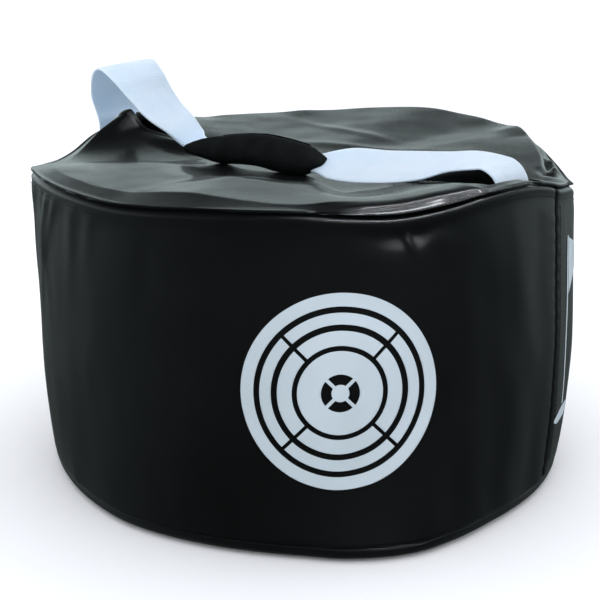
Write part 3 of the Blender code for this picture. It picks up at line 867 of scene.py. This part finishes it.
def rounded_solid(name, outline, low, high, look, edge=0.25, flat=False):
    """An outline in (s, t) or (s, z), given depth, with softly bevelled edges."""
    shape = bmesh.new()
    add_tube(shape, [[diagonal(a, depth, b) if flat else diagonal(a, b, depth) for a, b in outline]
                     for depth in (low, high)])
    piece = to_piece(name, shape, look, smooth_shading=False)
    bevel = piece.modifiers.new("edges", "BEVEL")
    bevel.width = edge * 0.001
    bevel.segments = 2
    bevel.limit_method = "ANGLE"
    bevel.angle_limit = math.radians(40)
    return piece


def make_slider(metal):
    """Two shield-shaped plates, a post and the bridge that holds the pull."""
    shield = [(-5.2, -2.2), (-4.2, -4.0), (-1.0, -4.8), (3.0, -4.6), (5.2, -3.2), (5.2, -1.0), (3.6, 0.0),
              (5.2, 1.0), (5.2, 3.2), (3.0, 4.6), (-1.0, 4.8), (-4.2, 4.0), (-5.2, 2.2)]
    square = [(1.6, -0.35), (5.0, -0.35), (5.0, 0.35), (1.6, 0.35)]
    for name, outline, low, high, edge, nodes in (
            ("slider_upper_plate", shield, 229.9, 231.1, 0.35, ("slider_body",)),
            ("slider_lower_plate", shield, 224.7, 225.9, 0.35, ()),
            ("slider_post", square, 225.8, 230.0, 0.1, ())):
        solid = rounded_solid(name, [(SLIDER_S + a, b) for a, b in outline], low, high, metal, edge)
        body_piece(solid, "zip_slider", "zip_metal", *nodes)
    path = [(-3.6, 231.0), (-3.5, 232.6), (-3.0, 233.9), (-1.7, 234.6), (1.7, 234.6), (3.0, 233.9),
            (3.5, 232.6), (3.6, 231.0)]
    rows = []
    for s, z in smooth_profile(path, 3):
        rows.append([diagonal(SLIDER_S + s + 0.5 * math.cos(turn) * (s / 4.0),
                              0.9 * math.sin(turn), z + 0.45 * math.cos(turn) * (1 - abs(s) / 5.0))
                     for turn in (math.tau * k / 10 for k in range(10))])
    bridge = grid_piece("slider_bridge_strap", rows, metal, closed_across=True, caps=True)
    body_piece(bridge, "zip_slider", "zip_metal", "slider_bridge")


def make_pull(metal):
    """A die-cast pull: a window round the bridge, a waist and a ribbed thumb pad."""
    stations = ((-0.8, 2.0, 0.4), (-0.3, 2.6, 0.5), (6.0, 3.0, 0.5), (9.0, 2.6, 0.5), (13.0, 3.4, 0.5),
                (20.0, 4.3, 0.5), (23.0, 3.7, 0.5), (24.0, 2.6, 0.4))
    outline = [(s, -t) for s, t, _ in stations] + [(s, t) for s, t, _ in reversed(stations)]
    window = [(0.8, -1.7), (5.2, -1.7), (5.2, 1.7), (0.8, 1.7)]
    curve = bpy.data.curves.new("zip_pull_tab", "CURVE")
    curve.dimensions = "2D"
    curve.fill_mode = "BOTH"
    curve.extrude = 0.00035
    curve.bevel_depth = 0.00014
    curve.bevel_resolution = 2
    for points in (outline, window):
        spline = curve.splines.new("POLY")
        spline.points.add(len(points) - 1)
        spline.use_cyclic_u = True
        for target, (s, t) in zip(spline.points, points):
            target.co = (s * 0.001, t * 0.001, 0.0, 1.0)
    piece = bpy.data.objects.new("zip_pull_tab", curve)
    bpy.context.scene.collection.objects.link(piece)
    curve.materials.append(metal)
    piece.rotation_euler.z = math.radians(-45)
    piece.location = mm(diagonal(SLIDER_S, 0, 232.5))
    body_piece(piece, "zip_pull", "zip_metal", "pull_tab")
    for number in range(5):
        s = SLIDER_S + 13.5 + number * 1.9
        half = 2.3 + number * 0.28
        rib = rounded_solid(f"pull_rib_{number + 1}", [(s - 0.3, -half), (s + 0.3, -half), (s + 0.3, half),
                                                      (s - 0.3, half)], 232.8, 233.2, metal, 0.12)
        body_piece(rib, "zip_pull", "zip_metal")


def make_zip_ends(look, metal):
    """Crimped stops, and the cloth that closes each end of the slot."""
    for name, sign, node in (("left", -1, "zip_stop_left"), ("right", 1, "zip_stop_right")):
        s = sign * 157.1
        clamp = [(s - 1.4, 227.4), (s + 1.4, 227.4), (s + 1.5, 229.0), (s + 0.8, 229.9), (s - 0.8, 229.9),
                 (s - 1.5, 229.0)]
        stop = rounded_solid(f"zip_crimp_{name}", clamp, -3.3, 3.3, metal, 0.3, flat=True)
        body_piece(stop, "bag", "zip_metal", node)
    for name, sign, start, wall in (("left", -1, 161.0, 175.5), ("right", 1, 162.0, 172.0)):
        rows = []
        for step in range(25):
            s = sign * (start + (190.0 - start) * step / 24)
            edges = [end_height(s, side) for side in (-1, 1)]
            climb = smooth((abs(s) - wall) / 4.0)
            line = []
            for place in range(13):
                share = place / 12
                t = -7.2 + 14.4 * share
                rim = edges[0] + (edges[1] - edges[0]) * share
                pinch = 1.6 * math.sin(share * math.pi * 3) * climb
                floor = 229.4 + 0.3 * ripple(s, t, 1.0, 6.0)
                line.append(diagonal(s, t, floor + (rim + pinch - floor) * climb))
            rows.append(line)
        piece = grid_piece(f"zip_end_fold_{name}", rows, look, weave=lambda r, p: (r * 0.0012, p * 0.0012))
        bag_sheet(piece, UNDER_ZIP, 0.8, "coated_fabric", f"zip_end_tab_{name}")


def end_height(s, side):
    """Height of the top's outside beside the slot, out to the seam."""
    point = diagonal(s, side * SLOT_HALF, 0)
    angle = math.degrees(math.atan2(point.x, -point.y))
    radius = math.hypot(point.x, point.y)
    line = top_line(angle)
    for (first, low), (second, high) in zip(line, line[1:]):
        if first <= radius <= second:
            return low + (high - low) * (radius - first) / (second - first)
    return line[-1][1]


# ---- handle --------------------------------------------------------------------------------------

def section_values(route, place):
    """Smoothly read numbers of the route at a place such as 3.5, half-way past section 3."""
    rows = [(*row[:3], *row[3], *row[4:]) for row in route]
    index = min(int(place), len(rows) - 2)
    picked = [rows[max(index - 1, 0)], rows[index], rows[index + 1], rows[min(index + 2, len(rows) - 1)]]
    return [catmull_rom(*column, place - index) for column in zip(*picked)]


def section_frame(route, place):
    """Middle, direction across, direction outwards, width and thickness at a place on the route."""
    s, t, z, across_s, across_t, across_z, width, thickness = section_values(route, place)
    ahead = diagonal(*section_values(route, min(place + 0.02, len(route) - 1))[:3])
    behind = diagonal(*section_values(route, max(place - 0.02, 0))[:3])
    across = diagonal(across_s, across_t, across_z).normalized()
    outwards = (ahead - behind).cross(across).normalized()
    return diagonal(s, t, z), across, outwards, width, thickness


def evenly(route, pitch):
    """Places on the route about a pitch apart, in millimetres, with the length so far."""
    last = len(route) - 1
    places, lengths, length = [0], [0.0], 0.0
    fine = 40
    count = last * fine
    previous = diagonal(*section_values(route, 0)[:3])
    since = 0.0
    for step in range(1, count + 1):
        place = last * step / count
        point = diagonal(*section_values(route, place)[:3])
        moved = (point - previous).length
        length += moved
        since += moved
        previous = point
        if since >= pitch or step == count:
            places.append(place)
            lengths.append(length)
            since = 0.0
    return places, lengths


def strap_section(width, thickness, cup):
    """Outline of the webbing, flat with full rounded edges, as (across, outwards)."""
    half, thick = width / 2, thickness / 2
    flat = half - thick
    steps = 14
    outline = []
    for side in (1, -1):
        for step in range(steps + 1):
            share = 1 - 2 * step / steps
            a = share * flat * side
            outline.append((a, side * thick))
        for turn in (45, 90, 135):
            turned = math.radians(turn)
            outline.append((-side * (flat + thick * math.sin(turned)), side * thick * math.cos(turned)))
    return [(a, b - cup * (a / half) ** 2) for a, b in outline]


def make_strap(name, route, look, cup, nodes):
    """A length of webbing with ribbed, slightly scalloped edges."""
    places, lengths = evenly(route, 0.62)
    rows = []
    for place, length in zip(places, lengths):
        middle, across, outwards, width, thickness = section_frame(route, place)
        scallop = 0.22 * math.sin(length * math.tau / 3.1)
        rib = 0.05 * math.sin(length * math.tau / 1.55)
        wander = 0.5 * ripple(length, 0.0, 11.0, 26.0)
        outline = strap_section(width + scallop, thickness + rib, cup)
        rows.append([middle + across * (a + wander) + outwards * b for a, b in outline])
    outline = strap_section(50.0, WEBBING, 0.0)
    count = len(outline)
    piece = grid_piece(name, rows, look, closed_across=True, caps=True,
                       weave=lambda r, p: (lengths[r] * 0.001, outline[p % count][0] * 0.001))
    faces_outwards(piece, rows[len(rows) // 2][count // 4])
    piece.visible_glossy = False
    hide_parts(*nodes)
    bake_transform(piece)


def grip_shell(name, first, last, from_deg, to_deg, inner, outer, look, ends=0.0):
    """Part of the padded wrap: a C section between two sizes beside the grip's outline, closed and
    rounded at its ends."""
    stations = 72
    steps = 44
    rows = []
    for station in range(stations + 1):
        share = station / stations
        place = first + (last - first) * share
        middle, across, outwards, half_wide, half_thick = section_frame(GRIP, place)
        near = min(share, 1 - share) * stations / 4.0
        close = math.sqrt(max(1 - (1 - min(near, 1.0)) ** 2, 0.0)) if ends else 1.0
        ring = []
        for by, backwards in ((outer, False), (inner, True)):
            reach = inner + (by - inner) * close
            a, b = (max(half + reach, 0.3 * half + 0.02 * reach) for half in (half_wide, half_thick))
            for step in range(steps + 1):
                turned = 1 - step / steps if backwards else step / steps
                angle = math.radians(from_deg + (to_deg - from_deg) * turned)
                puff = 0.0 if backwards else ends * ripple(place * 30.0, math.degrees(angle) * 0.4, 8.0, 12.0)
                flat = abs(math.cos(angle)) ** 0.86 * math.copysign(1, math.cos(angle))
                tall = abs(math.sin(angle)) ** 0.86 * math.copysign(1, math.sin(angle))
                ring.append(middle + across * (a + puff) * flat + outwards * (b + puff) * tall)
        rows.append(ring)
    count = len(rows[0])
    span = 0.16 / stations
    return grid_piece(name, rows, look, closed_across=True, caps=True,
                      weave=lambda r, p: (r * span, (p if p < count / 2 else count - p) * 0.0015))


def make_handle(webbing, grip, loop, hook):
    left_route = FOOT_LEFT + HANDLE[:LEFT_ROWS]
    right_route = HANDLE[RIGHT_ROW:] + FOOT_RIGHT
    make_strap("strap_left", left_route, webbing, 0.6, ("handle_end_left",))
    make_strap("strap_right", right_route, webbing, 0.9, ("handle_end_right", "handle_webbing"))

    middle = diagonal(-14, -36, 242)
    core = grip_shell("grip_foam", 2.2, 9.4, -88, 268, -4.6, -2.0, loop)
    faces_outwards(core, middle)
    body_piece(core, "handle", "grip_foam", "grip_core")
    sleeve = grip_shell("grip_sleeve", 0, len(GRIP) - 1, -78, 278, -1.9, 0.0, grip, ends=0.35)
    faces_outwards(sleeve, middle)
    body_piece(sleeve, "handle", "grip_cover", "grip_wrap")
    soft = grip_shell("loop_patch", FLAP_FIRST + 0.1, FLAP_LAST - 0.1, -66, -16, 0.3, 0.8, loop)
    body_piece(soft, "handle", "hook_and_loop", "loop_strip")
    stiff = grip_shell("hook_patch", FLAP_FIRST + 0.1, FLAP_LAST - 0.1, -66, -16, 0.9, 1.3, hook)
    body_piece(stiff, "flap", "hook_and_loop", "hook_strip")
    flap = grip_shell("grip_flap_cover", FLAP_FIRST, FLAP_LAST, -80, 4, 1.4, 2.0, grip, ends=0.15)
    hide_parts("grip_flap")
    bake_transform(flap)


# ---- inside of the bag ---------------------------------------------------------------------------

def inner_radius(angle, z, inset):
    return wall_radius(angle, z, wall_column(angle)) - inset


def make_inner_tape(name, node, slot, look, angles, heights, inset):
    rows = []
    for angle in angles:
        rows.append([polar(angle, inner_radius(angle, z, inset), z) for z in heights])
    piece = grid_piece(name, rows, look, weave=lambda r, p: (r * 0.004, p * 0.004))
    bag_sheet(piece, DRUM_MIDDLE, 0.8, slot, node)


def make_inside(tape, webbing, cloth):
    full = [step * 3.0 - 180.0 for step in range(121)]
    make_inner_tape("top_binding", "top_seam_tape", "binding_tape", tape, full,
                    [208.0 + 3.0 * k for k in range(5)], 2.6)
    make_inner_tape("base_binding", "bottom_seam_tape", "binding_tape", tape, full,
                    [18.0 + 3.0 * k for k in range(6)], 2.6)
    for side, centre in (("right", SIDE_SEAMS[0]), ("left", SIDE_SEAMS[1])):
        angles = [centre - 4.0 + k for k in range(9)]
        make_inner_tape(f"side_binding_{side}", f"side_seam_tape_{side}", "binding_tape", tape, angles,
                        [38.0 + 6.0 * k for k in range(27)], 3.2)
    for side, centre in (("right", 45.0), ("left", -135.0)):
        angles = [centre - 7.5 + k * 1.5 for k in range(11)]
        make_inner_tape(f"anchor_patch_{side}", f"handle_anchor_{side}", "webbing", webbing, angles,
                        [170.0 + 4.0 * k for k in range(9)], 3.4)
    layers = (("lower", 3.0, 76.0), ("middle", 78.0, 150.0), ("upper", 152.0, 221.0))
    for number, (name, low, high) in enumerate(layers):
        rows = []
        for step in range(72):
            angle = step * 5.0 - 180.0
            line = []
            for place in range(19):
                turn = math.pi * place / 18
                z = (low + high) / 2 - (high - low) / 2 * math.cos(turn)
                reach = (inner_radius(angle, max(z, BOTTOM_SEAM_HEIGHT), 6.0)) * math.sin(turn) ** 0.22
                if z < 20.0:
                    reach -= (20.0 - z) * 0.5
                lump = 2.2 * ripple(angle * 3.0, z, 20.0 + number, 26.0)
                line.append(polar(angle, max((reach - 2.0 + lump) if 0 < place < 18 else 1.0, 1.0), z))
            rows.append(line)
        piece = grid_piece(f"stuffing_{name}", rows, cloth, closed_along=True)
        faces_outwards(piece, (0, 0, (low + high) / 2))
        body_piece(piece, "bag", "rag_filling", f"filling_{name}")


# ---- printed films -------------------------------------------------------------------------------

def over_wall(angle, z, lift):
    return polar(angle, wall_radius(angle, z, wall_column(angle)) + lift, z)


def on_front(side, up, lift):
    """A point over the wall, side and up being millimetres from the target's middle. The rings are
    printed a little taller than they are wide, and just right of the middle."""
    narrowed, shift, heightened = 0.975, 0.6, 1.015
    return over_wall(math.degrees((side * narrowed + shift) / 200.0), TARGET_Z + up * heightened, lift)


def on_side(side, up, lift):
    """A point over the back panel, measured from the foot of the flag's pole."""
    return over_wall(FLAG_ANGLE + math.degrees(side / 205.0), FLAG_FOOT + up, lift)


def film(name, loops, look, place, *nodes, lift=0.35):
    """A thin printed shape: flat outlines filled, cut into fine cells and laid on the wall."""
    cell = 2.5
    curve = bpy.data.curves.new(name, "CURVE")
    curve.dimensions = "2D"
    curve.fill_mode = "BOTH"
    for points in loops:
        spline = curve.splines.new("POLY")
        spline.points.add(len(points) - 1)
        spline.use_cyclic_u = True
        for target, (a, b) in zip(spline.points, points):
            target.co = (a, b, 0.0, 1.0)
    guide = bpy.data.objects.new(name + "_guide", curve)
    bpy.context.scene.collection.objects.link(guide)
    flat = bpy.data.meshes.new_from_object(guide.evaluated_get(bpy.context.evaluated_depsgraph_get()))
    bpy.data.objects.remove(guide, do_unlink=True)
    shape = bmesh.new()
    shape.from_mesh(flat)
    bpy.data.meshes.remove(flat)
    bmesh.ops.remove_doubles(shape, verts=shape.verts, dist=0.001)
    low_a, high_a = (pick(vertex.co.x for vertex in shape.verts) for pick in (min, max))
    low_b, high_b = (pick(vertex.co.y for vertex in shape.verts) for pick in (min, max))
    for low, high, direction in ((low_a, high_a, Vector((1, 0, 0))), (low_b, high_b, Vector((0, 1, 0)))):
        cut = math.floor(low / cell) * cell + 0.013
        while cut < high:
            everything = shape.verts[:] + shape.edges[:] + shape.faces[:]
            bmesh.ops.bisect_plane(shape, geom=everything, plane_co=direction * cut, plane_no=direction,
                                   dist=0.0001)
            cut += cell
    layer = shape.loops.layers.uv.new("weave")
    for face in shape.faces:
        for loop in face.loops:
            loop[layer].uv = loop.vert.co.xy * 0.001
    for vertex in shape.verts:
        vertex.co = mm(place(vertex.co.x, vertex.co.y, lift))
    piece = to_piece(name, shape, look, turn_faces=False)
    bag_sheet(piece, DRUM_MIDDLE, 0.15, "print_film", *nodes, offset=1.0)


def ellipse(wide, tall, steps, up=0.0):
    return [(wide * math.cos(math.tau * k / steps), up + tall * math.sin(math.tau * k / steps))
            for k in range(steps)]


def circle(radius):
    return ellipse(radius, radius, 120)


def sector(inner, outer, from_deg, to_deg, half_gap):
    """Part of a ring between two angles, with its ends parallel to the gap's middle."""
    outline = []
    for radius, backwards in ((outer, False), (inner, True)):
        trim = math.degrees(math.asin(half_gap / radius))
        first, last = from_deg + trim, to_deg - trim
        steps = 40
        for k in range(steps + 1):
            share = 1 - k / steps if backwards else k / steps
            turn = math.radians(first + (last - first) * share)
            outline.append((radius * math.cos(turn), radius * math.sin(turn)))
    return outline


def make_target(look):
    """A pale outer band, two bands cut by four diagonal gaps, and a disc with a ring of windows."""
    film("target_band_outer", [circle(66.0), circle(57.3)], look, on_front, "target_ring_outer")
    for name, outer, inner, node in (("target_band_middle", 53.3, 45.7, "target_ring_middle"),
                                     ("target_band_inner", 41.6, 31.8, "target_ring_inner")):
        pieces = [sector(inner, outer, 45 + 90 * k, 135 + 90 * k, 1.25) for k in range(4)]
        film(name, pieces, look, on_front, node)
    windows = [sector(5.9, 12.8, 45 + 90 * k, 135 + 90 * k, 1.2) for k in range(4)]
    film("target_disc", [circle(28.4)] + windows, look, on_front, "target_centre")


def make_side_print(look):
    """A plain flag over a hole, on the back panel beside the right seam."""
    pole = [(-1.6, 0), (1.6, 0), (1.6, 128), (-1.6, 128)]
    flag = [(3.2, 126), (3.2, 84), (18, 92), (34, 100), (46, 106), (30, 115), (16, 121)]
    hole = ellipse(22, 5, 48, -7)
    for name, outline in (("pole", pole), ("flag", flag), ("hole", hole)):
        film(f"side_print_{name}", [outline], look, on_side)


# ---- seam stitching ------------------------------------------------------------------------------

def make_seam_stitches(look):
    """Topstitching under the top seam and beside the side seams."""
    thread_radius = 0.16
    pairs = []
    for number in range(300):
        middle = number * 1.2 - 180.0
        pairs.append([over_wall(angle, around(SEAM_HEIGHT, angle) - 9.5, 0.22)
                      for angle in (middle - 0.40, middle + 0.40)])
    row_of_stitches("top_seam_stitching", pairs, look, thread_radius)
    pairs = []
    for seam in SIDE_SEAMS:
        for number in range(46):
            z = 26.0 + number * STITCH_PITCH
            pairs.append([over_wall(seam + 1.9, z + half, 0.2) for half in (-SHORT_STITCH, SHORT_STITCH)])
    row_of_stitches("side_seam_stitching", pairs, look, thread_radius)


# ---- room ----------------------------------------------------------------------------------------

def make_room():
    """Pale floor, a soft box above for the colours, two narrow strips for the highlights, and a sky
    that is even for colours and a gradient for gloss."""
    bpy.ops.mesh.primitive_plane_add(size=14.0, location=(0, 0, 0))
    floor = bpy.context.object
    floor.name = "floor"
    look = Look("floor_paint", (0.96, 0.96, 0.96), 0.9)
    look.colours(look.noise(3.0), (0.95, 0.95, 0.955), (0.97, 0.97, 0.97))
    floor.data.materials.append(look.material)
    floor.visible_glossy = False

    lights = (("ceiling_box", (2.0, 2.0), (0.0, -0.2, 2.4), (1, 0, 0), 10.8, False),
              ("upper_strip", (1.3, 0.05), (0.92, -0.09, 1.49), (0.78, 0.35, -0.52), 12.0, True),
              ("side_strip", (0.9, 0.07), (0.62, -1.02, 1.32), (0.86, 0.5, 0), 12.0, True))
    for name, size, place, long_way, energy, only_gloss in lights:
        lamp = bpy.data.lights.new(name, "AREA")
        lamp.shape = "RECTANGLE"
        lamp.size, lamp.size_y = size
        lamp.energy = energy
        lamp.color = (0.90, 0.95, 1.0)
        light = bpy.data.objects.new(name, lamp)
        bpy.context.scene.collection.objects.link(light)
        light.location = place
        inward = (Vector((0.1, -0.17, 0.24)) - light.location).normalized()
        side = -Vector(long_way).cross(inward).cross(inward).normalized()
        light.rotation_euler = Matrix((side, -inward.cross(side), -inward)).transposed().to_euler()
        light.visible_diffuse = not only_gloss
        light.visible_glossy = only_gloss

    world = bpy.data.worlds.new("studio")
    bpy.context.scene.world = world
    world.use_nodes = True
    nodes, links = world.node_tree.nodes, world.node_tree.links
    background = nodes["Background"]
    direction = nodes.new("ShaderNodeTexCoord").outputs["Generated"]
    split = nodes.new("ShaderNodeSeparateXYZ")
    links.new(direction, split.inputs[0])
    height = nodes.new("ShaderNodeValToRGB")
    bands = ((-0.4, 0.08), (-0.2, 0.16), (-0.06, 0.60), (0.02, 0.85), (0.20, 0.80), (0.27, 0.62),
             (0.34, 0.26), (0.44, 0.07), (0.8, 0.04))
    ramp = height.color_ramp
    while len(ramp.elements) < len(bands):
        ramp.elements.new(0.5)
    for element, (level, value) in zip(ramp.elements, bands):
        element.position = (level + 0.5) / 1.5
        element.color = (value * 0.84, value * 0.99, value, 1.0)
    lowered = nodes.new("ShaderNodeMapRange")
    for key, value in (("From Min", -0.5), ("From Max", 1.0)):
        lowered.inputs[key].default_value = value
    links.new(split.outputs["Z"], lowered.inputs["Value"])
    links.new(lowered.outputs["Result"], height.inputs["Fac"])
    behind = nodes.new("ShaderNodeMapRange")
    for key, value in (("From Min", -0.5), ("From Max", 0.5), ("To Min", 0.12), ("To Max", 1.0)):
        behind.inputs[key].default_value = value
    links.new(split.outputs["Y"], behind.inputs["Value"])
    scaled = nodes.new("ShaderNodeVectorMath")
    scaled.operation = "SCALE"
    links.new(height.outputs["Color"], scaled.inputs[0])
    links.new(behind.outputs["Result"], scaled.inputs["Scale"])
    ray = nodes.new("ShaderNodeLightPath")
    mix = nodes.new("ShaderNodeMix")
    mix.data_type = "RGBA"
    links.new(ray.outputs["Is Glossy Ray"], mix.inputs["Factor"])
    mix.inputs["A"].default_value = (1.14, 1.16, 1.22, 1.0)
    links.new(scaled.outputs["Vector"], mix.inputs["B"])
    links.new(mix.outputs["Result"], background.inputs["Color"])
    background.inputs["Strength"].default_value = 1.0


def make_camera():
    data = bpy.data.cameras.new("camera")
    data.lens = 82.46
    data.sensor_width = 36.0
    camera = bpy.data.objects.new("camera", data)
    bpy.context.scene.collection.objects.link(camera)
    camera.location = (-0.1284, -1.0166, 0.4385)
    camera.rotation_euler = (math.radians(90.0 - 17.30), 0.0, math.radians(-7.2))
    bpy.context.scene.camera = camera
    bpy.context.scene.view_settings.view_transform = "Standard"


# ---- all together --------------------------------------------------------------------------------

make_camera()
make_room()
cloth = coated_fabric("coated_cloth")
black_thread = thread("black_thread", (0.004, 0.004, 0.0045))
metal = black_metal("painted_zinc")
tape = lining_tape("binding")
film_look = print_film("print")
webbing_look = strap_webbing("webbing")

make_wall("wall_skin_front", SIDE_SEAMS[1], SIDE_SEAMS[0], cloth, "wall_panel_front")
make_wall("wall_skin_back", SIDE_SEAMS[0], SIDE_SEAMS[1] + 360.0, cloth, "wall_panel_back")
make_base(cloth)
make_top(cloth)
make_zip_welts(cloth, black_thread)
make_zip_tapes(zip_cloth("zip_cloth"))
make_teeth(zip_nylon("zip_nylon"))
make_slider(metal)
make_pull(metal)
make_zip_ends(cloth, metal)
make_handle(webbing_look, grip_fabric("grip_cloth"), hook_and_loop("loop_pile", 0.0009),
            hook_and_loop("hook_pile", 0.0013))
make_inside(tape, webbing_look, stuffing_cloth("rags"))
make_target(film_look)
make_side_print(film_look)
make_seam_stitches(black_thread)
